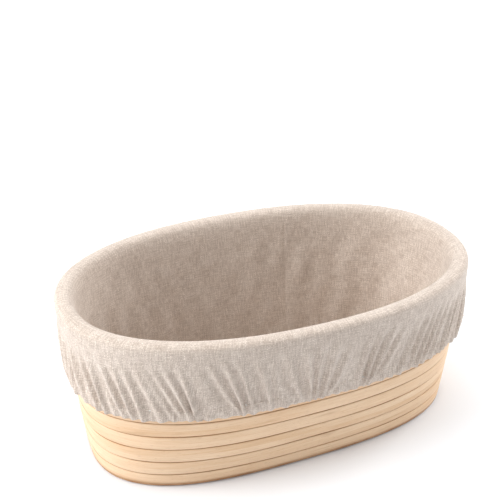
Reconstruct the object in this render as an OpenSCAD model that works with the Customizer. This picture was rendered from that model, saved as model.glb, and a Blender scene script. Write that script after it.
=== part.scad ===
// Oval banneton: a bread-proofing basket of bent cane with a removable linen liner.
// Millimetres. The origin is at the middle of the underside, +X runs along the long axis, +Z is up.

/* [Basket] */
// Outside length over the rim
rim_length = 255; // [220:5:300]
// Outside width over the rim
rim_width = 156; // [140:2:190]
// Outside length at the table
base_length = 236; // [200:2:280]
// Outside width at the table
base_width = 120; // [104:2:170]
// Height from the table to the top of the rim
basket_height = 102; // [92:1:140]
// How square the oval is at the table: 2 is an ellipse, more is fuller at the corners
base_fullness = 2.8; // [2:0.05:3.4]
// How square the oval is at the rim
rim_fullness = 2.25; // [2:0.05:3.4]

/* [Cane] */
// Courses of cane under the rim
courses = 9; // [6:1:12]
// Thickness of the wall's cane, from the outside to the crest of its rounded inside
cane_depth = 7.5; // [6:0.25:9]
// Thickness of the rim's cane
rim_depth = 9.5; // [8:0.25:12]
// Height of the rim's cane
rim_height = 12; // [9:0.5:14]
// Thickness of the base's canes
base_cane_thickness = 6.5; // [5:0.25:8]

/* [Wall spiral] */
// Place round the oval where the wall's cane starts, in degrees from the +X end
start_angle = 121; // [90:1:150]
// Share of a turn that the cane takes to climb one course
climb_share = 0.12; // [0.1:0.01:0.16]
// How much later each course starts to climb than the one under it, in turns
climb_drift = 0.006; // [0:0.001:0.01]

/* [Fasteners] */
// Staples along the rim
rim_staple_count = 28; // [12:1:40]
// Nails through each joint between two courses
nails_per_course = 8; // [4:1:16]

/* [Liner] */
// Height of the liner's lower edge above the table
hem_height = 54.5; // [30:0.5:60]
// Height of the hem casing
casing_height = 8; // [6:0.5:10]
// Thickness of the linen
linen = 0.7; // [0.5:0.05:0.9]
// Room left between the basket and the liner for the seam allowances
liner_gap = 1.3; // [1.1:0.1:1.6]

/* [Hidden] */

stations = 48;               // cross-sections in one turn round the basket
joint_gap = 0.1;             // between canes that touch
course_height = (basket_height - rim_height) / courses;

base_cane_count = 10;
base_cane_end_gap = 0.6;     // between a base cane's end and the lowest course
base_cane_edge = 0.55;       // height of a base cane's side, as a share of its thickness
base_inner_width = base_width - 2 * (cane_depth + base_cane_end_gap);
base_cane_pitch = base_inner_width / base_cane_count;

rim_proud = 0.5;             // how far the rim stands out from the wall
rim_squareness = 2.8;

wire = 0.8;                  // width of a staple's wire
crown_height = 0.6;          // thickness of a staple's wire
rim_staple_length = 4;
rim_staple_leg = 14.5;
rim_staple_drift = 0.3;      // unevenness of their places, in spaces between two
base_staple_length = 10;
base_staple_leg = 4;
nail_thickness = 1.2;
nail_share = 1.4;            // a nail's length, in courses
nail_place = 0.4;            // how deep a nail sits in the cane, as a share of the cane's depth

floor_z = base_cane_thickness + 0.3;      // underside of the liner on the base canes
sewing_gap = 0.15;                        // between layers of cloth
elastic_thickness = 1;
hem_clearance = 0.4;                      // between the wall and the hem
seam_allowance = 6;
side_seam_station = 9;                    // the side seam lies between this station and the next
side_seam_span = [0.3, 0.7];              // its edges, as shares of the way between the two
thread = 0.5;

CANE = "burlywood";
RIM_CANE = "bisque";
STEEL = "dimgray";
LINEN = "tan";
THREAD = "antiquewhite";
ELASTIC = "white";

// ---------------------------------------------------------------------------
// The oval and the flared wall

function mix(low, high, share) = low + (high - low) * share;

function smooth(share) = let (s = min(max(share, 0), 1)) s * s * (3 - 2 * s);

// Radius of an oval with half axes a and b in the direction of an angle.
function oval_radius(a, b, fullness, direction) =
    pow(pow(abs(cos(direction)) / a, fullness) + pow(abs(sin(direction)) / b, fullness), -1 / fullness);

// Point of that oval. Equal steps of the angle give closer points at the tight ends.
function oval_point(a, b, fullness, angle) =
    let (direction = atan2(b * sin(angle), a * cos(angle)),
         radius = oval_radius(a, b, fullness, direction))
    [radius * cos(direction), radius * sin(direction)];

// Point at a height, at a distance outside (or, if negative, inside) the wall's outer face.
function wall_point(angle, out, z) =
    let (share = z / basket_height,
         xy = oval_point(mix(base_length, rim_length, share) / 2 + out,
                         mix(base_width, rim_width, share) / 2 + out,
                         mix(base_fullness, rim_fullness, share), angle))
    [xy.x, xy.y, z];

// Horizontal direction of the wall at an angle, in degrees.
function wall_heading(angle, z) =
    let (step = wall_point(angle + 1, 0, z) - wall_point(angle - 1, 0, z))
    atan2(step.y, step.x);

// ---------------------------------------------------------------------------
// Sweeps

function reversed(list) = [for (i = [len(list) - 1:-1:0]) list[i]];

// Solid through a list of cross-sections with equal numbers of points, as a ring or with flat ends.
module sweep(sections, closed) {
    count = len(sections);
    size = len(sections[0]);
    sides = [
        for (i = [0:closed ? count - 1 : count - 2], j = [0:size - 1])
            let (here = i * size, next = (i + 1) % count * size, k = (j + 1) % size)
            each [[here + j, here + k, next + k], [here + j, next + k, next + j]]
    ];
    last = (count - 1) * size;
    ends = closed ? [] : [
        for (j = [1:size - 2])
            each [[0, j + 1, j], [last, last + j, last + j + 1]]
    ];
    polyhedron(points = [for (section = sections) each section], faces = concat(sides, ends));
}

// Ring round the basket. The profile is a list of [distance outside the wall, height].
module ring(profile) {
    sweep([
        for (i = [0:stations - 1])
            [for (p = profile) wall_point(360 * i / stations, p.x, p.y)]
    ], closed = true);
}

// A path shifted sideways, to its right when the distance is positive.
function shifted(path, distance) = [
    for (i = [0:len(path) - 1])
        let (before = path[max(i - 1, 0)],
             after = path[min(i + 1, len(path) - 1)],
             along = (after - before) / norm(after - before))
        path[i] + distance * [along.y, -along.x]
];

// Outline of a strip of even thickness along a path.
function strip(path, thickness) =
    concat(shifted(path, thickness / 2), reversed(shifted(path, -thickness / 2)));

function box_profile(left, right, bottom, top) =
    [[left, bottom], [right, bottom], [right, top], [left, top]];

// ---------------------------------------------------------------------------
// Wall

// The cane's cross-section: [depth from the outside, height], each as a share. Flat outside, round inside.
cane_section = [[0, 0], [0, 1], [0.5, 1], [0.9, 0.78], [1, 0.5], [0.9, 0.22], [0.5, 0]];

// Share of a turn at which the joint over a course starts to climb.
function climb_start(course) = course * climb_drift;

// Height of the joint over a course, where the turn is a share from 0 to 1.
function joint_z(course, turn) =
    course < 0 ? 0
    : course >= courses ? courses * course_height
    : course_height * (course + smooth((turn - climb_start(course)) / climb_share));

function cane_at(station) =
    let (course = floor(station / stations),
         turn = station / stations - course,
         bottom = course == 0 ? 0 : joint_z(course - 1, turn) + joint_gap / 2,
         top = joint_z(course, turn) - joint_gap / 2)
    [for (p = cane_section)
        wall_point(start_angle - 360 * turn, -p.x * cane_depth, mix(bottom, top, p.y))];

// The cane starts and ends one station inside its tapers, where it is still about a millimetre thick.
first_station = 1;
last_station = stations * courses
    + floor((climb_start(courses - 1) + climb_share) * stations) - 1;

module wall_cane() {
    color(CANE)
        sweep([for (i = [last_station:-1:first_station]) cane_at(i)], closed = false);
}

module course_nails() {
    color(STEEL)
        for (course = [1:courses - 1], i = [0:nails_per_course - 1])
            nail(360 * (i + course / 3) / nails_per_course, course * course_height);
}

module nail(angle, z) {
    translate(wall_point(angle, -nail_place * cane_depth, z))
        cube([nail_thickness, nail_thickness, nail_share * course_height], center = true);
}

// ---------------------------------------------------------------------------
// Rim

rim_section_points = 12;
rim_bottom = basket_height - rim_height + joint_gap / 2;

function rim_profile() = [
    for (i = [0:rim_section_points - 1])
        let (direction = 360 * (i + 0.5) / rim_section_points,
             half_width = rim_depth / 2,
             half_height = (basket_height - rim_bottom) / 2,
             radius = oval_radius(half_width, half_height, rim_squareness, direction))
        [rim_proud - half_width + radius * cos(direction),
         basket_height - half_height + min(max(radius * sin(direction), -half_height), half_height)]
];

module rim_cane() {
    color(RIM_CANE) ring(rim_profile());
}

module rim_staples() {
    color(STEEL)
        for (i = [0:rim_staple_count - 1])
            let (uneven = rim_staple_drift * sin(97 * i),
                 angle = 360 * (i + uneven) / rim_staple_count)
            translate(wall_point(angle, rim_proud - rim_depth / 2, basket_height - crown_height / 2))
                rotate(wall_heading(angle, basket_height))
                    rotate([180, 0, 0])
                        staple(rim_staple_length, rim_staple_leg);
}

// Staple lying along X on the plane z = 0, with its legs up.
module staple(length, leg) {
    translate([-length / 2, -wire / 2, -crown_height])
        cube([length, wire, crown_height]);
    for (side = [-1, 1])
        translate([side * (length - wire) / 2, 0, leg / 2 - crown_height / 2])
            cube([wire, wire, leg + crown_height], center = true);
}

// ---------------------------------------------------------------------------
// Base

// Half axes of the outline that the base canes are cut to.
base_a = base_length / 2 - cane_depth - base_cane_end_gap;
base_b = base_width / 2 - cane_depth - base_cane_end_gap;

function base_outline() = [
    for (i = [0:stations - 1]) oval_point(base_a, base_b, base_fullness, 360 * i / stations)
];

// Flat underneath and crowned on top.
function base_cane_section() =
    let (half = (base_cane_pitch - joint_gap) / 2, steps = 8)
    concat(
        [[-half, 0], [half, 0]],
        [for (i = [0:steps])
            let (y = half * (1 - 2 * i / steps))
            [y, base_cane_thickness * mix(base_cane_edge, 1, sqrt(1 - pow(y / half, 2) * 0.999))]]
    );

function base_cane_y(number) = (number - (base_cane_count + 1) / 2) * base_cane_pitch;

module base_cane(number) {
    color(CANE)
        intersection() {
            translate([-base_a, base_cane_y(number), 0])
                rotate([90, 0, 90])
                    linear_extrude(2 * base_a) polygon(base_cane_section());
            translate([0, 0, -1])
                linear_extrude(base_cane_thickness + 2) polygon(base_outline());
        }
}

module base_staples() {
    color(STEEL)
        for (number = [1:base_cane_count], side = [-1, 1])
            let (y = base_cane_y(number),
                 x = base_a * pow(1 - pow(abs(y) / base_b, base_fullness), 1 / base_fullness))
            translate([side * x, y, crown_height + joint_gap / 2])
                staple(base_staple_length, base_staple_leg);
}

// ---------------------------------------------------------------------------
// Liner

// Middle of the cloth inside the wall, inside the rim and over the rim.
inside_wall = -(cane_depth + liner_gap + linen / 2);
inside_rim = rim_proud - rim_depth - liner_gap - linen / 2;
outside_rim = rim_proud + liner_gap + linen / 2;
over_rim = basket_height + liner_gap + linen / 2;
casing_top = hem_height + casing_height;
skirt_height = basket_height - casing_top;
skirt_bulge = 2.6;           // how far the cloth stands out over the casing
roll_edge = 4;               // from the rim's corner to where the cloth starts to turn over it
roll_cut = [1.3, 1.6];       // how far the cloth cuts that corner

// The casing's layers, outwards from the wall: inner leg, elastic, outer leg.
casing_inner = hem_clearance + linen / 2;
casing_elastic = casing_inner + linen / 2 + sewing_gap + elastic_thickness / 2;
casing_outer = casing_elastic + elastic_thickness / 2 + sewing_gap + linen / 2;

// The side panel from the base seam, up the wall, over the rim and down to the casing.
side_panel_path = [
    [inside_wall, floor_z + linen + sewing_gap],
    [inside_wall, basket_height - 2 * rim_height],
    [inside_rim, basket_height - rim_height],
    [inside_rim, basket_height - roll_edge],
    [inside_rim + roll_cut.x, over_rim - roll_cut.y],
    [inside_rim + roll_edge, over_rim],
    [outside_rim - roll_edge, over_rim],
    [outside_rim - roll_cut.x, over_rim - roll_cut.y],
    [outside_rim, basket_height - roll_edge],
    [outside_rim + 0.25 * skirt_bulge, basket_height - 0.25 * skirt_height],
    [outside_rim + 0.85 * skirt_bulge, basket_height - 0.6 * skirt_height],
    [outside_rim + skirt_bulge, basket_height - 0.85 * skirt_height],
    [casing_outer, casing_top + sewing_gap]
];

module liner_base_panel() {
    color(LINEN)
        translate([0, 0, floor_z])
            linear_extrude(linen)
                polygon([for (i = [0:stations - 1])
                    let (p = wall_point(360 * i / stations, inside_wall + linen / 2, floor_z))
                    [p.x, p.y]]);
}

module liner_base_seam() {
    left = inside_wall + linen / 2 + sewing_gap;
    color(LINEN)
        ring(box_profile(left, left + linen, floor_z + linen + sewing_gap,
                         floor_z + linen + sewing_gap + seam_allowance));
}

module liner_side_panel() {
    color(LINEN) ring(strip(side_panel_path, linen));
}

// Seam allowance that lies between the side panel and the basket, from above the base seam to the hem.
module liner_side_seam() {
    first = side_panel_path[0] + [0, seam_allowance + 2 * sewing_gap];
    path = concat([first], [for (i = [1:len(side_panel_path) - 2]) side_panel_path[i]]);
    near = shifted(path, linen / 2 + 2 * sewing_gap);
    far = shifted(path, linen * 1.5 + 2 * sewing_gap);
    right = side_seam_span[0];
    left = side_seam_span[1];
    color(LINEN)
        sweep([
            for (i = [0:len(path) - 1])
                [side_seam_point(left, near[i]), side_seam_point(left, far[i]),
                 side_seam_point(right, far[i]), side_seam_point(right, near[i])]
        ], closed = false);
}

// Point of the flat facet that the side seam lies on, at a share of the way across it.
function side_seam_point(share, profile_point) =
    let (angle = 360 * side_seam_station / stations)
    mix(wall_point(angle, profile_point.x, profile_point.y),
        wall_point(angle + 360 / stations, profile_point.x, profile_point.y), share);

// One strip of cloth folded up round the elastic, open at the top where it is stitched.
module liner_hem_casing() {
    fold = [
        [casing_inner, casing_top],
        [casing_inner, hem_height + linen],
        [casing_elastic, hem_height + linen / 2],
        [casing_outer, hem_height + linen],
        [casing_outer, casing_top]
    ];
    color(LINEN) ring(strip(fold, linen));
}

module liner_elastic() {
    half = elastic_thickness / 2;
    color(ELASTIC)
        ring(box_profile(casing_elastic - half, casing_elastic + half,
                         hem_height + linen + 2 * sewing_gap, casing_top - thread));
}

module liner_hem_stitching() {
    left = casing_outer + linen / 2 + sewing_gap;
    color(THREAD)
        ring(box_profile(left, left + thread, casing_top - thread, casing_top));
}

// ---------------------------------------------------------------------------

base_cane(1);  // base_cane_1
base_cane(2);  // base_cane_2
base_cane(3);  // base_cane_3
base_cane(4);  // base_cane_4
base_cane(5);  // base_cane_5
base_cane(6);  // base_cane_6
base_cane(7);  // base_cane_7
base_cane(8);  // base_cane_8
base_cane(9);  // base_cane_9
base_cane(10);  // base_cane_10
base_staples();
wall_cane();
course_nails();
rim_cane();
rim_staples();
liner_base_panel();
liner_base_seam();
liner_side_panel();
liner_side_seam();
liner_hem_casing();
liner_elastic();
liner_hem_stitching();
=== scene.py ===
"""Looks of the banneton basket and its linen liner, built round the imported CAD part. Metres."""
import math

import bpy
import numpy as np
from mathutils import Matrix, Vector


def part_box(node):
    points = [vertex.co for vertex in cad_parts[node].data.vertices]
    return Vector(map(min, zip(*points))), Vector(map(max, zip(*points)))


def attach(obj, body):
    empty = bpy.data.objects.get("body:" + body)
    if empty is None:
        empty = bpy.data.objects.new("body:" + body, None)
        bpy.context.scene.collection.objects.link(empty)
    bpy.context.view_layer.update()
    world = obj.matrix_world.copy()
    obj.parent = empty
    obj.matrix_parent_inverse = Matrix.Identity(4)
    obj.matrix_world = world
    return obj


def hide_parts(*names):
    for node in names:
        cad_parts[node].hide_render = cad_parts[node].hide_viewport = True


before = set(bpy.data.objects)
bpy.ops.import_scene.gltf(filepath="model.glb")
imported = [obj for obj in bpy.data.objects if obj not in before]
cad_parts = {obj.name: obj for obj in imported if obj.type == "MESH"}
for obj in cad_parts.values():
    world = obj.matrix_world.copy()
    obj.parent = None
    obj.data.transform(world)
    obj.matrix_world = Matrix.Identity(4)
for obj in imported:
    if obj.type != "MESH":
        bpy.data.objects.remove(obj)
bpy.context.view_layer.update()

MM = 0.001
TURN = 2 * math.pi

# ---------------------------------------------------------------------------------------------
# Sizes, read from the frame


def cad_points(node):
    """Vertices of a CAD node as an array."""
    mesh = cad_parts[node].data
    points = np.empty(3 * len(mesh.vertices))
    mesh.vertices.foreach_get("co", points)
    return points.reshape(-1, 3)


def half_axes(node, low, high):
    """Half length and half width of a CAD node between two heights."""
    points = cad_points(node)
    band = points[(points[:, 2] >= low) & (points[:, 2] <= high)]
    return np.abs(band[:, :2]).max(axis=0)


RIM_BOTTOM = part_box("rim_cane")[0].z
RIM_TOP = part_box("rim_cane")[1].z
WALL_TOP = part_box("wall_cane")[1].z
COURSES = 9
COURSE = WALL_TOP / COURSES

EDGE_BAND = 0.1 * MM
BASE_AXES = half_axes("wall_cane", 0, EDGE_BAND)
TOP_AXES = half_axes("wall_cane", WALL_TOP - EDGE_BAND, WALL_TOP)
RIM_AXES = BASE_AXES + (TOP_AXES - BASE_AXES) * RIM_TOP / WALL_TOP
BASE_FULLNESS = 2.8
RIM_FULLNESS = 2.25

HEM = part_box("liner_hem_casing")[0].z
HEM_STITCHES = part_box("liner_hem_casing")[1].z
FLOOR_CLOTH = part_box("liner_base_panel")[1].z
LINER_SEAM_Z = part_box("liner_side_panel")[0].z
LINER_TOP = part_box("liner_side_panel")[1].z

# The wall's cane: one spiral from the lowest course to the rim.
CANE_DEPTH = 7.5 * MM
START_ANGLE = math.radians(121)
CLIMB_SHARE = 0.12            # share of each turn in which the cane climbs to the next course
CLIMB_DRIFT = 0.006           # how much later, in turns, each climb starts than the one under it

RIM_DEPTH = 9.5 * MM
RIM_PROUD = 0.5 * MM
CLOTH = 0.55 * MM

# ---------------------------------------------------------------------------------------------
# The oval


def oval(axes, fullness, angle):
    """x and y of a rounded oval with two half axes. More fullness gives squarer corners."""
    a, b = axes
    direction = np.arctan2(b * np.sin(angle), a * np.cos(angle))
    reach = (np.abs(np.cos(direction)) / a) ** fullness + (np.abs(np.sin(direction)) / b) ** fullness
    radius = reach ** (-1 / fullness)
    return radius * np.cos(direction), radius * np.sin(direction)


def wall(angle, out, z):
    """Points at a height, at a distance outside (or, if negative, inside) the wall's outer face."""
    angle, out, z = np.broadcast_arrays(angle, out, z)
    share = z / RIM_TOP
    axes = [BASE_AXES[i] + (RIM_AXES[i] - BASE_AXES[i]) * share + out for i in (0, 1)]
    x, y = oval(axes, BASE_FULLNESS + (RIM_FULLNESS - BASE_FULLNESS) * share, angle)
    return np.stack([x, y, z], axis=-1)


def lengths(points):
    """Distance along a line of points from its start to each point."""
    steps = np.linalg.norm(np.diff(points, axis=0), axis=1)
    return np.concatenate([[0], np.cumsum(steps)])


FINE_ANGLES = np.linspace(0, TURN, 2001)
GIRTH = lengths(wall(FINE_ANGLES, 0, RIM_TOP / 2))[-1]


def even_angles(count, z):
    """Angles that are equal distances apart round the wall at a height."""
    along = lengths(wall(FINE_ANGLES, 0, z))
    return np.interp(np.linspace(0, along[-1], count, endpoint=False), along, FINE_ANGLES)


def smooth(share):
    """Eased step from 0 to 1."""
    share = np.clip(share, 0, 1)
    return share * share * (3 - 2 * share)


def signed_power(value, power):
    """A power that keeps the sign of its base. It turns circles into rounded squares."""
    return np.sign(value) * np.abs(value) ** power


def softened(path, rounds):
    """A path with its corners cut off again and again."""
    for _ in range(rounds):
        near = 0.75 * path[:-1] + 0.25 * path[1:]
        far = 0.25 * path[:-1] + 0.75 * path[1:]
        middle = np.stack([near, far], axis=1).reshape(-1, path.shape[1])
        path = np.concatenate([path[:1], middle, path[-1:]])
    return path


def resampled(path, step):
    """A path with points at even distances."""
    along = lengths(path)
    places = np.linspace(0, along[-1], round(along[-1] / step) + 1)
    return np.stack([np.interp(places, along, column) for column in path.T], axis=-1)


def ripples(around, along, widths, lean, seed, count=9):
    """Irregular folds about as high as 1. `around` and `along` are in metres, `widths` is the range of
    their widths, and `lean` is how much they slant."""
    peak = 1.6                # how many times its mean height such a sum of waves usually reaches
    rng = np.random.default_rng(seed)
    total = np.zeros(np.broadcast(around, along).shape)
    for _ in range(count):
        folds = round(GIRTH / rng.uniform(*widths))
        slant = rng.normal(0, lean) * TURN * folds / GIRTH
        total += np.sin(TURN * folds * around / GIRTH + slant * along + rng.uniform(0, TURN))
    return total * math.sqrt(2 / count) / peak


# ---------------------------------------------------------------------------------------------
# Meshes


def add_object(name, mesh, body, material, nodes):
    """Links a mesh as a piece of the object."""
    piece = bpy.data.objects.new(name, mesh)
    bpy.context.scene.collection.objects.link(piece)
    mesh.materials.append(material)
    mesh.shade_smooth()
    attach(piece, body)
    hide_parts(*nodes)
    return piece


def grid_mesh(name, sheets, closed_rows=False, closed_columns=False, capped=False, shade=None):
    """Mesh of one or more grids. Each sheet is an array [row, column, xyz]. Its UV map is in metres,
    with u along the rows and v along the columns. `shade` becomes the point attribute "shade"."""
    vertices = []
    faces = []
    uv = []
    start = 0
    for points in sheets:
        rows, columns = points.shape[:2]
        i, j = np.meshgrid(
            np.arange(rows - (not closed_rows)), np.arange(columns - (not closed_columns)), indexing="ij"
        )
        corner_rows = np.stack([i, i, i + 1, i + 1], axis=-1)
        corner_columns = np.stack([j, j + 1, j + 1, j], axis=-1)
        corners = start + corner_rows % rows * columns + corner_columns % columns
        faces += corners.reshape(-1, 4).tolist()
        u = lengths(np.concatenate([points[:, 0], points[:1, 0]]))
        v = lengths(np.concatenate([points[rows // 2], points[rows // 2, :1]]))
        uv.append(np.stack([u[corner_rows], v[corner_columns]], axis=-1).reshape(-1, 2))
        if capped:
            first = start + np.arange(columns)
            faces += [first[::-1].tolist(), (first + (rows - 1) * columns).tolist()]
            uv.append(np.zeros((2 * columns, 2)))
        vertices.append(points.reshape(-1, 3))
        start += rows * columns
    mesh = bpy.data.meshes.new(name)
    mesh.from_pydata(np.concatenate(vertices).tolist(), [], faces)
    layer = mesh.uv_layers.new(name="metres")
    layer.data.foreach_set("uv", np.concatenate(uv).ravel())
    if shade is not None:
        attribute = mesh.attributes.new("shade", "FLOAT", "POINT")
        attribute.data.foreach_set("value", np.asarray(shade, dtype=np.float32).ravel())
    return mesh


def rod(path, radius, sides=8):
    """Round wire along a path as a sheet, with eased ends."""
    path = np.asarray(path, dtype=float)
    along = np.gradient(path, axis=0)
    along /= np.linalg.norm(along, axis=1, keepdims=True)
    plane = np.cross(path[0] - path[-1], path[len(path) // 2] - path[0])
    across = plane / np.linalg.norm(plane)
    up = np.cross(along, across)
    angle = np.linspace(0, TURN, sides, endpoint=False)
    ease = np.ones(len(path))
    ease[0] = ease[-1] = 0.6
    spread = radius * ease[:, None, None]
    ring = np.cos(angle)[None, :, None] * across + np.sin(angle)[None, :, None] * up[:, None]
    return path[:, None] + spread * ring


def thicken(piece):
    """Rounds a sheet of cloth and gives it thickness, behind the side that is seen."""
    piece.modifiers.new("rounding", "SUBSURF").render_levels = 1
    solidify = piece.modifiers.new("thickness", "SOLIDIFY")
    solidify.thickness = CLOTH
    solidify.offset = -1


# ---------------------------------------------------------------------------------------------
# Materials, by small helpers. A socket input may be a number, a colour or another node's output.


class Shader:
    """One material's node tree."""

    def __init__(self, name):
        self.material = bpy.data.materials.new(name)
        self.material.use_nodes = True
        self.tree = self.material.node_tree
        self.surface = self.tree.nodes["Principled BSDF"]

    def node(self, kind, inputs, output=0, **settings):
        """Adds a node, sets or links its inputs by name or number, and returns one output."""
        node = self.tree.nodes.new(kind)
        for key, value in settings.items():
            setattr(node, key, value)
        self.connect(node, inputs)
        return node.outputs[output]

    def connect(self, node, inputs):
        for key, value in inputs.items():
            if isinstance(value, bpy.types.NodeSocket):
                self.tree.links.new(value, node.inputs[key])
            else:
                node.inputs[key].default_value = value

    def math(self, operation, *values):
        return self.node("ShaderNodeMath", dict(enumerate(values)), operation=operation)

    def uv(self, along=1, across=1):
        """The UV map in metres, stretched by two factors."""
        coordinates = self.node("ShaderNodeTexCoord", {}, output="UV")
        scale = (along, across, 1)
        return self.node("ShaderNodeVectorMath", {0: coordinates, 1: scale}, operation="MULTIPLY")

    def noise(self, vector, scale=1, detail=3, roughness=0.55):
        inputs = {"Vector": vector, "Scale": scale, "Detail": detail, "Roughness": roughness}
        return self.node("ShaderNodeTexNoise", inputs)

    def band(self, value, low, high, to_low=0, to_high=1):
        """A value eased from one range to another."""
        inputs = {0: value, 1: low, 2: high, 3: to_low, 4: to_high}
        return self.node("ShaderNodeMapRange", inputs, interpolation_type="SMOOTHSTEP")

    def mix(self, share, low, high, blend="MIX"):
        """A mix of two colours."""
        inputs = {0: share, 6: low, 7: high}
        return self.node("ShaderNodeMix", inputs, output=2, data_type="RGBA", blend_type=blend)

    def bump(self, height, distance, strength=1.0, normal=None):
        inputs = {"Height": height, "Distance": distance, "Strength": strength}
        if normal is not None:
            inputs["Normal"] = normal
        return self.node("ShaderNodeBump", inputs)

    def attribute(self, name):
        return self.node("ShaderNodeAttribute", {}, output="Fac", attribute_name=name)

    def finish(self, **inputs):
        """Sets the surface's inputs. Underscores in the names stand for spaces."""
        self.connect(self.surface, {key.replace("_", " "): value for key, value in inputs.items()})
        return self.material


def grey(value):
    return (value, value, value, 1)


def cane_material(name, light, dark, groove, gloss):
    """Smooth peeled cane: lengthwise fibres, short pores, slow changes of tone, and painted shade in the
    joints, darkened patchily towards the groove colour where the shade attribute is high.
    """
    s = Shader(name)
    drift = s.noise(s.uv(7, 40), detail=2)
    fibres = s.noise(s.uv(45, 2200), detail=4, roughness=0.65)
    pores = s.noise(s.uv(220, 3400), detail=1)
    dashes = s.band(pores, 0.66, 0.74)
    stains = s.band(s.noise(s.uv(28, 160), detail=3), 0.6, 0.78)
    tone = s.mix(s.band(drift, 0.3, 0.7), light, dark)
    tone = s.mix(s.band(fibres, 0.35, 0.7, 0, 0.38), tone, dark, "MULTIPLY")
    tone = s.mix(s.math("MULTIPLY", stains, 0.3), tone, groove)
    tone = s.mix(s.math("MULTIPLY", dashes, 0.45), tone, groove)
    # Painted shade: the mesh's shade attribute darkens joints, strip edges and the rim's underside,
    # patchily, towards the groove colour.
    joint = s.band(s.attribute("shade"), 0.25, 1.0)
    patchy = s.band(s.noise(s.uv(60, 60), detail=2), 0.25, 0.75, 0.65, 1.0)
    tone = s.mix(s.math("MULTIPLY", joint, patchy), tone, groove)
    roughness = s.band(fibres, 0.3, 0.7, gloss, gloss + 0.16)
    grooves = s.math("SUBTRACT", fibres, s.math("MULTIPLY", dashes, 0.6))
    normal = s.bump(grooves, 0.12 * MM, 0.55)
    normal = s.bump(s.noise(s.uv(35, 260), detail=2), 0.35 * MM, 0.5, normal)
    return s.finish(Base_Color=tone, Roughness=roughness, Normal=normal, IOR=1.45)


def linen_material(name, warp_tone, weft_tone, darker_tone):
    """Plain-woven linen: two sets of threads that pass over and under each other, with slubs, and with
    painted shade in the gaps between the threads.
    """
    s = Shader(name)
    pitch = 0.8 * MM
    wavy = s.band(s.noise(s.uv(90, 90), detail=2), 0, 1, -0.9 * pitch, 0.9 * pitch)
    bent = s.node("ShaderNodeVectorMath", {0: s.uv(), 1: wavy}, operation="ADD")
    phase = s.node("ShaderNodeVectorMath", {0: bent, "Scale": math.pi / pitch}, operation="SCALE")
    split = s.node("ShaderNodeSeparateXYZ", {0: phase}).node
    warp_wave = s.math("SINE", split.outputs[0])
    weft_wave = s.math("SINE", split.outputs[1])
    over = s.band(s.math("MULTIPLY", warp_wave, weft_wave), -0.15, 0.15)
    warp = s.math("ABSOLUTE", warp_wave)
    weft = s.math("ABSOLUTE", weft_wave)
    warp_slubs = s.noise(s.uv(1300, 170), detail=2)
    weft_slubs = s.noise(s.uv(170, 1300), detail=2)
    warp_colour = s.mix(s.band(warp_slubs, 0.32, 0.68), warp_tone, darker_tone)
    weft_colour = s.mix(s.band(weft_slubs, 0.32, 0.68), weft_tone, darker_tone)
    tone = s.mix(over, warp_colour, weft_colour)
    # Painted shade: the gaps between the threads are darkened towards the darker tone.
    gaps = s.math("MULTIPLY", s.math("SUBTRACT", 1, warp), s.math("SUBTRACT", 1, weft))
    tone = s.mix(s.math("MULTIPLY", gaps, 0.8), tone, darker_tone, "MULTIPLY")
    flecks = s.band(s.noise(s.uv(900, 900), detail=2, roughness=0.7), 0.42, 0.7, 0, 0.35)
    tone = s.mix(flecks, tone, darker_tone)
    clouds = s.band(s.noise(s.uv(40, 40), detail=4), 0.35, 0.75, 0, 0.12)
    tone = s.mix(clouds, tone, darker_tone, "MULTIPLY")
    height = s.node("ShaderNodeMix", {0: over, 2: warp, 3: weft}, data_type="FLOAT")
    slubs = s.math("ADD", warp_slubs, weft_slubs)
    normal = s.bump(s.math("ADD", height, slubs), 0.25 * MM, 0.6)
    normal = s.bump(s.noise(s.uv(330, 330), detail=3), 0.6 * MM, 0.4, normal)
    return s.finish(
        Base_Color=tone, Roughness=0.92, Normal=normal, Sheen_Weight=0.25, Sheen_Roughness=0.55,
        Specular_IOR_Level=0.25,
    )


def steel_material():
    """Dull drawn wire with a little tarnish."""
    s = Shader("steel_wire")
    position = s.node("ShaderNodeTexCoord", {}, output="Object")
    tarnish = s.noise(position, 900, detail=4)
    tone = s.mix(s.band(tarnish, 0.35, 0.7), (0.34, 0.31, 0.28, 1), (0.16, 0.13, 0.11, 1))
    roughness = s.band(tarnish, 0.3, 0.7, 0.35, 0.6)
    normal = s.bump(tarnish, 0.04 * MM, 0.4)
    return s.finish(Base_Color=tone, Metallic=0.9, Roughness=roughness, Normal=normal)


def elastic_material():
    """Ribbed white elastic tape."""
    s = Shader("elastic")
    position = s.node("ShaderNodeTexCoord", {}, output="Object")
    ribs = s.node(
        "ShaderNodeTexWave", {"Vector": position, "Scale": 300, "Distortion": 1.5, "Detail": 1},
        output=1, bands_direction="Z",
    )
    tone = s.mix(ribs, (0.78, 0.77, 0.73, 1), (0.62, 0.6, 0.56, 1))
    return s.finish(Base_Color=tone, Roughness=0.7, Normal=s.bump(ribs, 0.15 * MM, 0.6))


def thread_material(tone, darker_tone):
    """Two-ply cotton thread."""
    s = Shader("thread")
    position = s.node("ShaderNodeTexCoord", {}, output="Object")
    plies = s.noise(position, 2500, detail=2)
    colour = s.mix(s.band(plies, 0.3, 0.7), tone, darker_tone)
    return s.finish(
        Base_Color=colour, Roughness=0.85, Normal=s.bump(plies, 0.1 * MM, 0.5), Sheen_Weight=0.2
    )


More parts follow.
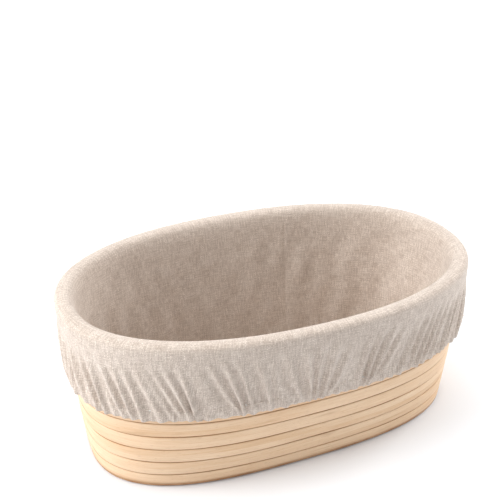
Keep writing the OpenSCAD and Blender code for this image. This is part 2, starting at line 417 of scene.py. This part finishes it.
# The third colour of each cane is the tone of its pores and stains, and also of the painted shade in its
# joints.
WALL_CANE = cane_material(
    "wall_cane", (0.83, 0.63, 0.44, 1), (0.74, 0.515, 0.32, 1), (0.34, 0.155, 0.055, 1), 0.5
)
BASE_CANE = cane_material(
    "base_cane", (0.80, 0.57, 0.35, 1), (0.68, 0.45, 0.25, 1), (0.30, 0.14, 0.05, 1), 0.52
)
RIM_CANE = cane_material(
    "rim_cane", (0.84, 0.70, 0.53, 1), (0.76, 0.58, 0.40, 1), (0.40, 0.24, 0.12, 1), 0.42
)
LINEN = linen_material("linen", (0.80, 0.71, 0.63, 1), (0.74, 0.65, 0.57, 1), (0.50, 0.41, 0.345, 1))
STEEL = steel_material()
ELASTIC = elastic_material()
THREAD = thread_material((0.78, 0.69, 0.61, 1), (0.6, 0.51, 0.44, 1))

# ---------------------------------------------------------------------------------------------
# Wall: one cane wound up nine courses

CANE_END = 0.018              # share of a turn cut off each tapered end, where it is too thin
CANE_SWELL = 0.12 * MM
JOINT_GAP = 0.1 * MM
FOOT_EDGE = np.array([1.6, 0.7]) * MM   # how far in and how far up the lowest course is rounded


def cane_section(points=22):
    """Cross-section of the wall's cane as shares of depth and height: flat outside, round inside."""
    angle = np.linspace(0, TURN, points, endpoint=False)
    outer = np.cos(angle) > 0
    power = np.where(outer, 0.24, 0.95)
    broadest = 0.42
    reach = np.where(outer, broadest, 1 - broadest)
    depth = broadest - reach * signed_power(np.cos(angle), power)
    height = 0.5 + 0.5 * signed_power(np.sin(angle), power)
    return depth, height


def joint_height(course, turn):
    """Height of the joint over a course, where the turn is a share from 0 to 1."""
    climb = smooth((turn - course * CLIMB_DRIFT) / CLIMB_SHARE)
    return COURSE * np.clip(course + climb, 0, COURSES)


def unevenness(wound, seed, waves):
    """Small slow changes along the cane. `wound` counts turns from the start, and `waves` is the
    range of changes in a turn."""
    rng = np.random.default_rng(seed)
    total = np.zeros_like(wound)
    for _ in range(6):
        total += np.sin(TURN * rng.uniform(*waves) * wound + rng.uniform(0, TURN))
    return total / 3 * np.clip(COURSES - 1 - wound, 0, 1) * np.clip(wound, 0, 1)


def wall_cane_sheet(stations=260):
    """The whole spiral as a sheet, and the shade of its points. `stations` is the number in a turn."""
    depth, height = cane_section()
    last_climb = (COURSES - 1) * CLIMB_DRIFT + CLIMB_SHARE
    wound = np.arange(CANE_END, COURSES + last_climb - CANE_END, 1 / stations)
    course = np.floor(wound)
    turn = wound - course
    bottom = np.where(course == 0, 0, joint_height(course - 1, turn))
    top = joint_height(course, turn)
    swell_below = unevenness(wound - 1, seed=3, waves=(3, 14)) * CANE_SWELL
    bottom = bottom + np.where(course == 0, 0, swell_below)
    top = top + unevenness(wound, seed=3, waves=(3, 14)) * CANE_SWELL
    out = unevenness(wound, seed=4, waves=(2, 9)) * CANE_SWELL
    z = bottom[:, None] + JOINT_GAP / 2 + (top - bottom - JOINT_GAP)[:, None] * height
    angle = START_ANGLE - TURN * turn
    # The lowest course has its lower outside edge rounded off, and that strip is painted dark as a
    # painted contact shadow: together they leave a dark line on the table.
    rounded = np.clip(1 - depth * CANE_DEPTH / FOOT_EDGE[0], 0, 1) * (height < 0.2)
    rounded = rounded * (course == 0)[:, None]
    z = z + rounded * FOOT_EDGE[1]
    points = wall(angle[:, None], out[:, None] - depth * CANE_DEPTH, z)
    # Painted shade: darkest at the top and bottom edge of each course, in the joints, and on the lowest
    # course's rounded foot as painted contact shadow.
    shade = np.maximum(np.abs(height * 2 - 1) ** 10, rounded)
    return points, shade


def build_wall():
    points, shade = wall_cane_sheet()
    mesh = grid_mesh("wall_cane", [points], closed_columns=True, capped=True, shade=shade)
    add_object("wall_cane_spiral", mesh, "basket", WALL_CANE, ["wall_cane"])


# ---------------------------------------------------------------------------------------------
# Rim: one thicker cane, rounded all round

RIM_SWELL = 0.07 * MM


def build_rim(stations=320, sides=28, power=0.72):
    angle = even_angles(stations, RIM_TOP)
    turn = np.linspace(TURN, 0, sides, endpoint=False)      # this way round, the faces look outwards
    across = signed_power(np.cos(turn), power)
    up = signed_power(np.sin(turn), power)
    out = RIM_PROUD - RIM_DEPTH / 2 * (1 - across)
    z = RIM_BOTTOM + (RIM_TOP - RIM_BOTTOM) * (1 + up) / 2
    place = np.linspace(0, TURN, stations, endpoint=False)
    rng = np.random.default_rng(8)
    swell = sum(np.sin(waves * place + rng.uniform(0, TURN)) for waves in (3, 5, 8, 13))
    points = wall(angle[:, None], out + RIM_SWELL * swell[:, None], z)
    # Painted shade on the lower half of the rim cane, darkest underneath, where it sits on the wall,
    # away from the light above.
    shade = np.broadcast_to(np.clip(-up, 0, 1) ** 6, points.shape[:2])
    mesh = grid_mesh("rim_cane", [points], closed_rows=True, closed_columns=True, shade=shade)
    add_object("rim_cane_ring", mesh, "basket", RIM_CANE, ["rim_cane"])


# ---------------------------------------------------------------------------------------------
# Base: ten straight canes cut to the oval

BASE_CANES = 10
BASE_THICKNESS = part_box("base_cane_5")[1].z
BASE_HALF_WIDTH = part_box("base_cane_10")[1].y
BASE_HALF_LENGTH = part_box("base_cane_5")[1].x
BASE_TRIM = 0.8 * MM          # most that a cane is cut short of the oval
BASE_BEND = 0.12 * MM


def base_cane_sheet(number, stations=60):
    """One cane: half-round on top, nearly flat below, its ends cut along the oval."""
    node = f"base_cane_{number}"
    low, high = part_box(node)
    middle = (low.y + high.y) / 2
    half = (high.y - low.y) / 2
    turn = np.linspace(0, TURN, 24, endpoint=False)
    across = signed_power(np.cos(turn), 0.5)
    crown = signed_power(np.sin(turn), np.where(np.sin(turn) > 0, 0.75, 0.4))
    y = middle + half * across
    waist = 0.42 * BASE_THICKNESS
    z = np.where(crown > 0, waist + (BASE_THICKNESS - waist) * crown, waist * (1 + crown))
    room = np.clip(1 - np.abs(y / (BASE_HALF_WIDTH * 1.002)) ** BASE_FULLNESS, 0, 1)
    reach = BASE_HALF_LENGTH * room ** (1 / BASE_FULLNESS)
    rng = np.random.default_rng(40 + number)
    trim = rng.uniform(0, BASE_TRIM, 2)
    share = np.sin(np.linspace(-math.pi / 2, math.pi / 2, stations))[:, None]
    x = share * (reach - np.where(share > 0, trim[0], trim[1]))
    ease = 1 - 0.1 * np.abs(share) ** 60
    bend = BASE_BEND * np.sin(share * rng.uniform(2, 5) + rng.uniform(0, TURN))
    points = np.stack([x, middle + (y - middle) * ease + bend, waist + (z - waist) * ease], axis=-1)
    # Painted shade along both long edges of each strip, where it meets its neighbours, and at its cut
    # ends.
    shade = np.broadcast_to(np.maximum(np.abs(across) ** 8, np.abs(share) ** 80), x.shape)
    return points, shade


def build_base():
    for number in range(1, BASE_CANES + 1):
        points, shade = base_cane_sheet(number)
        name = f"base_cane_{number}"
        mesh = grid_mesh(name, [points], closed_columns=True, capped=True, shade=shade)
        add_object(f"{name}_strip", mesh, "basket", BASE_CANE, [name])


# ---------------------------------------------------------------------------------------------
# Staples: bent round wire in the places of the CAD staples

WIRE = 0.7 * MM
WIRE_BEND = 0.9 * MM
CROWN_PROUD = 0.12 * MM       # how far the crowns of the rim's staples stand out of the cane


def loose_parts(node):
    """Vertices of each separate solid in a CAD node, as a list of arrays."""
    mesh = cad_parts[node].data
    points = cad_points(node)
    parent = {}

    def root(key):
        while parent.setdefault(key, key) != key:
            parent[key] = parent[parent[key]]
            key = parent[key]
        return key

    keys = [tuple(np.round(p / (0.01 * MM)).astype(int)) for p in points]
    for edge in mesh.edges:
        first, second = (root(keys[i]) for i in edge.vertices)
        parent[first] = second
    groups = {}
    for key, point in zip(keys, points):
        groups.setdefault(root(key), []).append(point)
    return [np.array(group) for _, group in sorted(groups.items())]


def staple_sheet(points, legs_up):
    """A staple of round wire that fills the place of one CAD staple."""
    centre = points.mean(axis=0)
    flat = points[:, :2] - centre[:2]
    along = np.linalg.svd(flat, full_matrices=False)[2][0]
    half = np.abs(flat @ along).max() - WIRE / 2
    low = points[:, 2].min() + WIRE / 2
    high = points[:, 2].max() - WIRE / 2
    bend = np.linspace(0, math.pi / 2, 5)
    side = half - WIRE_BEND * (1 - np.cos(bend))
    rise = WIRE_BEND * (1 - np.sin(bend))
    side = np.concatenate([[half], side, -side[::-1], [-half]])
    depth = np.concatenate([[high - low], rise, rise[::-1], [high - low]])
    z = low + depth if legs_up else high + CROWN_PROUD - depth
    path = np.column_stack([centre[:2] + side[:, None] * along, z])
    return rod(path, WIRE / 2)


def build_staples():
    for node, legs_up in (("rim_staples", False), ("base_staples", True)):
        sheets = [staple_sheet(points, legs_up) for points in loose_parts(node)]
        mesh = grid_mesh(node, sheets, closed_columns=True, capped=True)
        add_object(f"{node}_wire", mesh, "basket", STEEL, [node])


def finish_nails():
    """The nails inside the wall keep their CAD shape and only get their material."""
    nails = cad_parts["course_nails"].data
    nails.materials.clear()
    nails.materials.append(STEEL)


# ---------------------------------------------------------------------------------------------
# Liner: a floor panel, a side panel that rolls over the rim, and a hem gathered onto elastic

COLUMNS = 600
AROUND = np.linspace(0, GIRTH, COLUMNS, endpoint=False)
ANGLES = even_angles(COLUMNS, RIM_TOP / 2)
ROW_STEP = 1.6 * MM

# Distances of the seen side of the cloth outside (or, if negative, inside) the wall's outer face.
INSIDE_WALL = -(CANE_DEPTH + 1.65 * MM)
INSIDE_RIM = RIM_PROUD - RIM_DEPTH - 1.2 * MM
MIDDLE_OF_RIM = RIM_PROUD - RIM_DEPTH / 2
OUTSIDE_RIM = RIM_PROUD + 1.0 * MM
SKIRT_BULGE = 2 * MM
OVER_RIM = LINER_TOP - 0.1 * MM
ROLL_IN = 4 * MM              # how far in and down the roll over the rim's edge reaches
ROLL_DOWN = 4.5 * MM
ROLL_CUT = np.array([1.2, 1.3]) * MM    # how much of its corner is cut off, in and down

# The hem's layers, outwards from the wall: turned-up cloth, elastic, outer cloth.
CASING_INNER = 0.45 * MM
ELASTIC_OUT = 1.15 * MM
CASING_OUTER = 2.35 * MM
HEM_FOLD = HEM + 0.1 * MM
HEM_CORNER = 0.4 * MM

GATHER = 4.4 * MM             # mean width of the pleats at the hem
GATHER_HEIGHT = 1.1 * MM
GATHER_SEED = 21
HEM_WAVES = 0.2 * MM          # unevenness of the hem's height
BUNCHING = 1.1 * MM           # how unevenly the cloth is spread along the elastic
LEANING = 0.8 * MM            # how far the hem slips sideways, so that the folds lean
FULLNESS = 0.26               # extra width of the hem before the elastic draws it in
FOLDS_START = 18 * MM         # from the middle of the rim to where the folds begin
PLEATS_END = 12 * MM          # from the stitches up to where the last of the fine pleats dies out
PLEATS_FADE = 16 * MM         # height in which they die out
BROADEST_FOLD = 16 * MM
EXTRA_DEPTH = 0.5             # how much deeper the simulated folds are made

WRINKLES = 1.3 * MM           # heights of the wrinkles inside the basket and of the tucks at the seam
TUCKS = 0.9 * MM
RIBS_SHOWING = 0.08 * MM      # how much the courses of the wall show through the cloth
FLOOR_WRINKLES = 0.5 * MM
FLOOR_RIBS_SHOWING = 0.1 * MM

SIDE_SEAM_ANGLE = math.radians(71.25)
SEAM_GROOVE = 0.35 * MM
SEAM_RIDGES = 0.12 * MM
SEAM_ALLOWANCE = 6 * MM
BEHIND_CLOTH = CLOTH + 0.1 * MM         # from a cloth's seen side to the layer behind it
THREAD_RADIUS = 0.2 * MM


def inside_path():
    """Up the inside of the wall, from the base seam to the middle of the rim, as [out, height]."""
    path = np.array([
        [INSIDE_WALL, LINER_SEAM_Z],
        [INSIDE_WALL, 2 * COURSE],
        [INSIDE_WALL, RIM_TOP - 2.6 * COURSE],
        [INSIDE_RIM, RIM_BOTTOM],
        [INSIDE_RIM, RIM_TOP - ROLL_DOWN],
        [INSIDE_RIM + ROLL_CUT[0], OVER_RIM - ROLL_CUT[1]],
        [INSIDE_RIM + ROLL_IN, OVER_RIM],
        [MIDDLE_OF_RIM, OVER_RIM],
    ])
    return resampled(softened(path, 4), ROW_STEP)


def outside_path():
    """From the middle of the rim down to the fold of the hem, as [out, height]."""
    skirt = OVER_RIM - HEM_STITCHES
    path = np.array([
        [MIDDLE_OF_RIM, OVER_RIM],
        [OUTSIDE_RIM - ROLL_IN, OVER_RIM],
        [OUTSIDE_RIM - ROLL_CUT[0], OVER_RIM - ROLL_CUT[1]],
        [OUTSIDE_RIM, RIM_TOP - ROLL_DOWN],
        [OUTSIDE_RIM + 0.5 * SKIRT_BULGE, OVER_RIM - 0.35 * skirt],
        [OUTSIDE_RIM + SKIRT_BULGE, OVER_RIM - 0.6 * skirt],
        [OUTSIDE_RIM + 0.9 * SKIRT_BULGE, OVER_RIM - 0.85 * skirt],
        [CASING_OUTER, HEM_STITCHES],
        [CASING_OUTER, HEM_FOLD + HEM_CORNER],
        [CASING_OUTER - HEM_CORNER, HEM_FOLD],
    ])
    return resampled(softened(path, 4), ROW_STEP)


def turned_up_path():
    """The cloth turned up at the hem: under the elastic and up behind it, as [out, height]."""
    path = np.array([
        [CASING_OUTER - HEM_CORNER, HEM_FOLD],
        [CASING_INNER + HEM_CORNER, HEM_FOLD],
        [CASING_INNER, HEM_FOLD + HEM_CORNER],
        [CASING_INNER, HEM_STITCHES - 0.3 * MM],
    ])
    return resampled(softened(path, 2), ROW_STEP / 2)


def hem_pleats():
    """Fine, uneven pleats round the hem: 0 in their valleys and up to their height on their ridges."""
    rng = np.random.default_rng(GATHER_SEED)
    count = round(GIRTH / GATHER)
    widths = rng.uniform(0.45, 1.9, count)
    edges = np.concatenate([[0], np.cumsum(widths)])
    edges *= GIRTH / edges[-1]
    heights = widths * rng.uniform(0.5, 1.0, count) * GATHER_HEIGHT
    index = np.clip(np.searchsorted(edges, AROUND, side="right") - 1, 0, count - 1)
    share = (AROUND - edges[index]) / (edges[index + 1] - edges[index])
    return (0.5 - 0.5 * np.cos(TURN * share)) * heights[index]


def skirt_as_cut(path):
    """The skirt as it is cut: it widens towards the hem, where the elastic will draw it in."""
    along = lengths(path)
    share = np.clip((along - FOLDS_START) / (along[-1] - FOLDS_START), 0, 1)
    points = wall(ANGLES, path[:, :1], path[:, 1:])
    points[..., :2] *= (1 + FULLNESS * share)[:, None, None]
    sideways = np.linalg.norm(np.diff(points[..., :2], axis=0), axis=-1)
    flared_drop = np.sqrt(np.clip(np.diff(along)[:, None] ** 2 - sideways ** 2, 0, None))
    plain_drop = -np.diff(path[:, 1:], axis=0)
    drop = np.where(share[1:, None] > 0, flared_drop, plain_drop)
    points[1:, :, 2] = path[0, 1] - np.cumsum(drop, axis=0)
    return points


def skirt_drawn_in(path):
    """The skirt with its hem gathered onto the elastic."""
    near_hem = smooth((HEM_STITCHES + PLEATS_END - path[:, 1:]) / PLEATS_FADE)
    bunched = ripples(AROUND, 0, widths=(14 * MM, 40 * MM), lean=0, seed=22) * BUNCHING
    leaning = ripples(AROUND, 0, widths=(100 * MM, 300 * MM), lean=0, seed=24, count=5) * LEANING
    angles = ANGLES + (bunched + leaning) * near_hem / (GIRTH / TURN)
    uneven = ripples(AROUND, 0, widths=(9 * MM, 30 * MM), lean=0, seed=25, count=7) * HEM_WAVES
    return wall(angles, path[:, :1] + hem_pleats() * near_hem, path[:, 1:] + uneven * near_hem)


# ---------------------------------------------------------------------------------------------
# Simulation of the skirt. It runs ten times larger than life, where the solver is steadier.

SIM_SCALE = 10
SIM_FRAMES = 38
DRAW_FRAMES = 18              # in which the hem is drawn in
SIM_GAP = 0.4 * MM * SIM_SCALE
HELD_ON_RIM = RIM_TOP - 2 * MM
HELD_AT_HEM = HEM + 4 * MM    # below it the elastic holds the pleats
BENDING = 7


def sheet_object(name, points):
    """A plain object through one closed sheet, for the simulation only."""
    mesh = grid_mesh(name, [points], closed_columns=True)
    helper = bpy.data.objects.new(name, mesh)
    bpy.context.scene.collection.objects.link(helper)
    return helper


def basket_shell():
    """What the cloth lies on: the rim, the wall and the inner layers of the hem."""
    casing = CASING_OUTER - CLOTH - 0.3 * MM
    path = np.array([
        [casing, HEM - 6 * MM],
        [casing, HEM_STITCHES],
        [0, HEM_STITCHES + 1 * MM],
        [0, RIM_BOTTOM],
        [RIM_PROUD, RIM_BOTTOM + 1 * MM],
        [RIM_PROUD, RIM_TOP - 2.5 * MM],
        [RIM_PROUD - 2 * MM, RIM_TOP - 0.3 * MM],
        [RIM_PROUD - 3.5 * MM, RIM_TOP],
        [RIM_PROUD - RIM_DEPTH, RIM_TOP],
    ])
    path = resampled(softened(path, 2), 2.5 * MM)
    return wall(even_angles(COLUMNS // 2, RIM_TOP / 2), path[:, :1], path[:, 1:])


def cloth_object(cut, drawn, held):
    """The skirt as cloth, cut wide and then drawn in. `held` marks the rows that don't move freely."""
    cloth = sheet_object("cloth", cut * SIM_SCALE)
    cloth.shape_key_add(name="cut")
    key = cloth.shape_key_add(name="drawn")
    key.data.foreach_set("co", (drawn * SIM_SCALE).ravel())
    for number, value in ((1, 0), (DRAW_FRAMES, 1)):
        key.value = value
        key.keyframe_insert("value", frame=number)
    group = cloth.vertex_groups.new(name="held")
    marked = np.broadcast_to(held[:, None], cut.shape[:2])
    group.add(np.flatnonzero(marked).tolist(), 1, "REPLACE")
    modifier = cloth.modifiers.new("cloth", "CLOTH")
    settings = modifier.settings
    settings.quality = 5
    settings.mass = 0.15
    settings.air_damping = 1.5
    settings.tension_stiffness = 25
    settings.compression_stiffness = 25
    settings.shear_stiffness = 6
    settings.bending_stiffness = BENDING
    settings.vertex_group_mass = group.name
    settings.effector_weights.gravity = 0
    modifier.collision_settings.distance_min = SIM_GAP
    modifier.collision_settings.use_self_collision = True
    modifier.collision_settings.self_distance_min = SIM_GAP
    modifier.point_cache.frame_start = 1
    modifier.point_cache.frame_end = SIM_FRAMES
    return cloth


def simulate_skirt(cut, drawn, held):
    """Draws the hem of the cut skirt in onto the elastic and lets the cloth buckle into folds."""
    shell = sheet_object("shell", basket_shell() * SIM_SCALE)
    shell.modifiers.new("collision", "COLLISION")
    shell.collision.thickness_outer = SIM_GAP
    shell.collision.cloth_friction = 12
    cloth = cloth_object(cut, drawn, held)
    scene = bpy.context.scene
    for number in range(1, SIM_FRAMES + 1):
        scene.frame_set(number)
    result = cloth.evaluated_get(bpy.context.evaluated_depsgraph_get()).data
    points = np.empty(3 * len(result.vertices))
    result.vertices.foreach_get("co", points)
    bpy.data.objects.remove(cloth)
    bpy.data.objects.remove(shell)
    scene.frame_set(1)
    return points.reshape(cut.shape) / SIM_SCALE


def deepened(sheet, extra):
    """A sheet with deeper folds: each point moves further away from its row's broad shape."""
    spectrum = np.fft.rfft(sheet, axis=1)
    broad = np.exp(-(np.arange(spectrum.shape[1]) * BROADEST_FOLD / GIRTH) ** 2)
    row_shape = np.fft.irfft(spectrum * broad[None, :, None], sheet.shape[1], axis=1)
    return sheet + extra[:, None, None] * (sheet - row_shape)


def skirt_sheet():
    """The skirt from the middle of the rim to the fold of the hem, as worn."""
    path = outside_path()
    drawn = skirt_drawn_in(path)
    height = path[:, 1]
    held = (height > HELD_ON_RIM) | (height < HELD_AT_HEM)
    skirt = simulate_skirt(skirt_as_cut(path), drawn, held)
    return deepened(skirt, EXTRA_DEPTH * smooth((RIM_TOP - 4 * MM - height) / (10 * MM)))


# ---------------------------------------------------------------------------------------------
# Pieces of the liner


def seam_relief():
    """The side seam across the columns: a fine groove with a soft ridge on each side."""
    away = (ANGLES - SIDE_SEAM_ANGLE) * GIRTH / TURN
    groove = np.exp(-(away / (0.9 * MM)) ** 2)
    ridges = np.exp(-((np.abs(away) - 2.6 * MM) / (1.6 * MM)) ** 2)
    return SEAM_RIDGES * ridges - SEAM_GROOVE * groove


def inside_sheet():
    """The liner's inside: shallow upright wrinkles, with the ribs of the wall just showing."""
    path = inside_path()
    out, height = path[:, :1], path[:, 1:]
    along = lengths(path)[:, None]
    free = smooth(along / (6 * MM)) * smooth((RIM_BOTTOM + 4 * MM - height) / (24 * MM))
    wrinkles = 0.5 + 0.5 * ripples(AROUND, along, widths=(16 * MM, 60 * MM), lean=0.5, seed=31)
    tucks = ripples(AROUND, along, widths=(7 * MM, 16 * MM), lean=0.3, seed=32) ** 2
    near_seam = np.exp(-along / (9 * MM))
    ribs = np.cos(TURN * height / COURSE)
    inwards = (WRINKLES * wrinkles + TUCKS * near_seam * tucks - RIBS_SHOWING * ribs) * free
    seam = seam_relief() * smooth((RIM_TOP - height) / (10 * MM))
    return wall(ANGLES, out - inwards - seam, height)


def outwards(sheet):
    """Horizontal directions away from the basket at a sheet's points."""
    across = np.roll(sheet, -1, axis=1) - np.roll(sheet, 1, axis=1)
    away = np.stack([across[..., 1], -across[..., 0], 0 * across[..., 0]], axis=-1)
    return away / np.linalg.norm(away, axis=-1, keepdims=True)


def add_cloth(name, sheet, material, node, closed=True):
    """A piece of cloth through a sheet [row up the liner, column round it]."""
    mesh = grid_mesh(name, [sheet.transpose(1, 0, 2)], closed_rows=closed)
    piece = add_object(name, mesh, "liner", material, [node])
    thicken(piece)
    return piece


def build_side_panel(inner, skirt):
    panel = np.concatenate([inner, skirt[1:]])
    add_cloth("liner_side_panel_cloth", panel, LINEN, "liner_side_panel")


def build_casing(skirt):
    """The part of the hem that is turned up behind the elastic."""
    path = turned_up_path()[1:]
    out, height = path[:, :1], path[:, 1:]
    fade = smooth((out - CASING_INNER) / (CASING_OUTER - CASING_INNER))
    turned_up = wall(ANGLES, out + hem_pleats() * fade, height)
    casing = np.concatenate([skirt[-1:], turned_up])
    add_cloth("liner_hem_casing_cloth", casing, LINEN, "liner_hem_casing")


def build_side_seam(inner, skirt):
    """Seam allowances of the side panel: a strip that follows it between the cloth and the basket."""
    middle = int(np.argmin(np.abs(ANGLES - SIDE_SEAM_ANGLE)))
    above_base_seam = inner[inner[:, middle, 2] > LINER_SEAM_Z + SEAM_ALLOWANCE + 1 * MM]
    above_casing = skirt[1:][skirt[1:, middle, 2] > HEM_STITCHES + 1 * MM]
    panel = np.concatenate([above_base_seam, above_casing])
    strip = panel[:, middle - 3:middle + 4]
    seen_side = np.cross(np.gradient(strip, axis=0), np.gradient(strip, axis=1))
    seen_side /= np.linalg.norm(seen_side, axis=-1, keepdims=True)
    allowance = strip - seen_side * BEHIND_CLOTH
    add_cloth("liner_side_seam_cloth", allowance, LINEN, "liner_side_seam", closed=False)


def build_stitches(skirt):
    """Stitches round the top of the casing, each a short thread that dips into the cloth at its ends."""
    row = int(np.argmin(np.abs(outside_path()[:, 1] - HEM_STITCHES)))
    line = skirt[row]
    away = outwards(skirt)[row]
    lift = np.array([[-0.15], [0.25], [-0.15]]) * MM
    sheets = []
    for start in range(0, COLUMNS - 2, 3):
        picked = slice(start, start + 3)
        path = resampled(line[picked] + away[picked] * lift, 0.5 * MM)
        sheets.append(rod(path, THREAD_RADIUS, sides=6))
    mesh = grid_mesh("stitches", sheets, closed_columns=True, capped=True)
    add_object("liner_hem_stitches", mesh, "liner", THREAD, ["liner_hem_stitching"])


def build_base_panel(rings=40):
    """The oval panel on the floor, with a soft relief of the canes under it."""
    share = np.linspace(1, 0.002, rings)[:, None]
    points = wall(ANGLES[::3], INSIDE_WALL - 0.1 * MM, FLOOR_CLOTH) * np.ones((rings, 1, 1))
    points[..., :2] *= share[..., None]
    x = points[..., 0]
    y = points[..., 1]
    canes = np.cos(TURN * y / (2 * BASE_HALF_WIDTH / BASE_CANES))
    rng = np.random.default_rng(51)
    wrinkles = np.zeros(x.shape)
    for _ in range(10):
        width = rng.uniform(25, 80) * MM
        turn = rng.uniform(0, TURN)
        across = x * math.cos(turn) + y * math.sin(turn)
        wrinkles += np.sin(TURN * across / width + rng.uniform(0, TURN))
    relief = FLOOR_RIBS_SHOWING * canes + FLOOR_WRINKLES * (0.8 + wrinkles / 4)
    points[..., 2] += 0.05 * MM + relief * smooth((1 - share) / 0.12)
    piece = add_cloth("liner_base_panel_cloth", points, LINEN, "liner_base_panel")
    layer = piece.data.uv_layers["metres"]
    for loop in piece.data.loops:
        layer.data[loop.index].uv = piece.data.vertices[loop.vertex_index].co.xy


def build_base_seam():
    """The seam allowance that stands up between the side panel and the wall."""
    out = INSIDE_WALL + BEHIND_CLOTH
    foot = LINER_SEAM_Z + 0.2 * MM
    path = resampled(np.array([[out, foot], [out + 0.1 * MM, foot + SEAM_ALLOWANCE]]), ROW_STEP)
    frayed = ripples(AROUND, 0, widths=(6 * MM, 30 * MM), lean=0, seed=61) * 0.25 * MM
    share = np.linspace(0, 1, len(path))[:, None]
    sheet = wall(ANGLES, path[:, :1], path[:, 1:] + frayed * share)
    add_cloth("liner_base_seam_cloth", sheet, LINEN, "liner_base_seam")


def build_elastic(ribs=9):
    """Ribbed tape in the hem casing, crimped a little as it is not at full stretch."""
    low, high = (corner.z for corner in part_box("liner_elastic"))
    out = ELASTIC_OUT + np.where(np.arange(ribs) % 2, 0.05, -0.05)[:, None] * MM
    height = np.linspace(low, high, ribs)[:, None]
    crimp = ripples(AROUND, 0, widths=(3 * MM, 6 * MM), lean=0, seed=71) * 0.06 * MM
    sheet = wall(ANGLES, out + crimp, height)
    add_cloth("liner_elastic_tape", sheet, ELASTIC, "liner_elastic")


def build_liner():
    inner = inside_sheet()
    skirt = skirt_sheet()
    skirt += outwards(skirt) * seam_relief()[None, :, None]
    build_side_panel(inner, skirt)
    build_casing(skirt)
    build_side_seam(inner, skirt)
    build_stitches(skirt)
    build_base_panel()
    build_base_seam()
    build_elastic()


build_wall()
build_rim()
build_base()
build_staples()
finish_nails()
build_liner()

# ---------------------------------------------------------------------------------------------
# Floor, light and camera


def seen_by_camera(shader, strength):
    """A strength that only the camera sees, so that it lights nothing."""
    camera_ray = shader.node("ShaderNodeLightPath", {}, output="Is Camera Ray")
    return shader.math("MULTIPLY", camera_ray, strength)


FAR_GLOW = 0.8                # brightness added to the floor far from the basket


def build_floor():
    """A pale floor that stays as bright far away as it is round the basket."""
    s = Shader("floor")
    position = s.node("ShaderNodeTexCoord", {}, output="Object")
    distance = s.node("ShaderNodeVectorMath", {0: position}, output="Value", operation="LENGTH")
    far = s.band(distance, 2 * GIRTH / TURN, 3 * GIRTH, 0, FAR_GLOW)
    s.finish(
        Base_Color=(0.86, 0.885, 0.92, 1), Roughness=0.95, Specular_IOR_Level=0.1,
        Emission_Color=grey(1), Emission_Strength=seen_by_camera(s, far),
    )
    bpy.ops.mesh.primitive_plane_add(size=12)
    floor = bpy.context.object
    floor.name = "floor"
    floor.data.materials.append(s.material)


def area_light(name, place, target, size, power):
    light = bpy.data.lights.new(name, "AREA")
    light.size = size
    light.energy = power
    lamp = bpy.data.objects.new(name, light)
    lamp.location = place
    lamp.rotation_euler = (Vector(target) - Vector(place)).to_track_quat("-Z", "Y").to_euler()
    bpy.context.scene.collection.objects.link(lamp)


AMBIENT = 0.56                # strength of the light from all round, in a world that looks white


def build_lights():
    world = bpy.data.worlds.new("studio")
    world.use_nodes = True
    background = world.node_tree.nodes["Background"]
    background.inputs["Color"].default_value = grey(1)
    camera_ray = world.node_tree.nodes.new("ShaderNodeLightPath").outputs["Is Camera Ray"]
    strength = world.node_tree.nodes.new("ShaderNodeMapRange")
    strength.inputs["To Min"].default_value = AMBIENT
    strength.inputs["To Max"].default_value = 1
    world.node_tree.links.new(camera_ray, strength.inputs["Value"])
    world.node_tree.links.new(strength.outputs["Result"], background.inputs["Strength"])
    bpy.context.scene.world = world
    middle = (0, 0, RIM_TOP / 2)
    area_light("left", (-1.2, 0.15, 0.75), middle, size=0.8, power=19)
    area_light("right", (1.2, 0.1, 0.5), middle, size=0.8, power=14)
    area_light("above", (-0.1, 0.15, 1.4), middle, size=1.0, power=8)


# The camera stands to the left of the front, above the rim. It aims a little behind the middle and
# above the rim, which leaves room in the picture for the lifted liner.
VIEW_TURN = math.radians(23.6)
VIEW_RISE = math.radians(28.8)
VIEW_DISTANCE = 3.94 * RIM_AXES[0]
LENS = 60


def build_camera():
    data = bpy.data.cameras.new("camera")
    data.lens = LENS
    camera = bpy.data.objects.new("camera", data)
    level = VIEW_DISTANCE * math.cos(VIEW_RISE)
    height = RIM_TOP + VIEW_DISTANCE * math.sin(VIEW_RISE)
    camera.location = (-level * math.sin(VIEW_TURN), -level * math.cos(VIEW_TURN), height)
    aim = Vector((0, 0.4 * RIM_AXES[1], 0.96 * RIM_TOP))
    camera.rotation_euler = (aim - camera.location).to_track_quat("-Z", "Y").to_euler()
    bpy.context.scene.collection.objects.link(camera)
    bpy.context.scene.camera = camera


build_floor()
build_lights()
build_camera()
bpy.context.scene.view_settings.view_transform = "Standard"
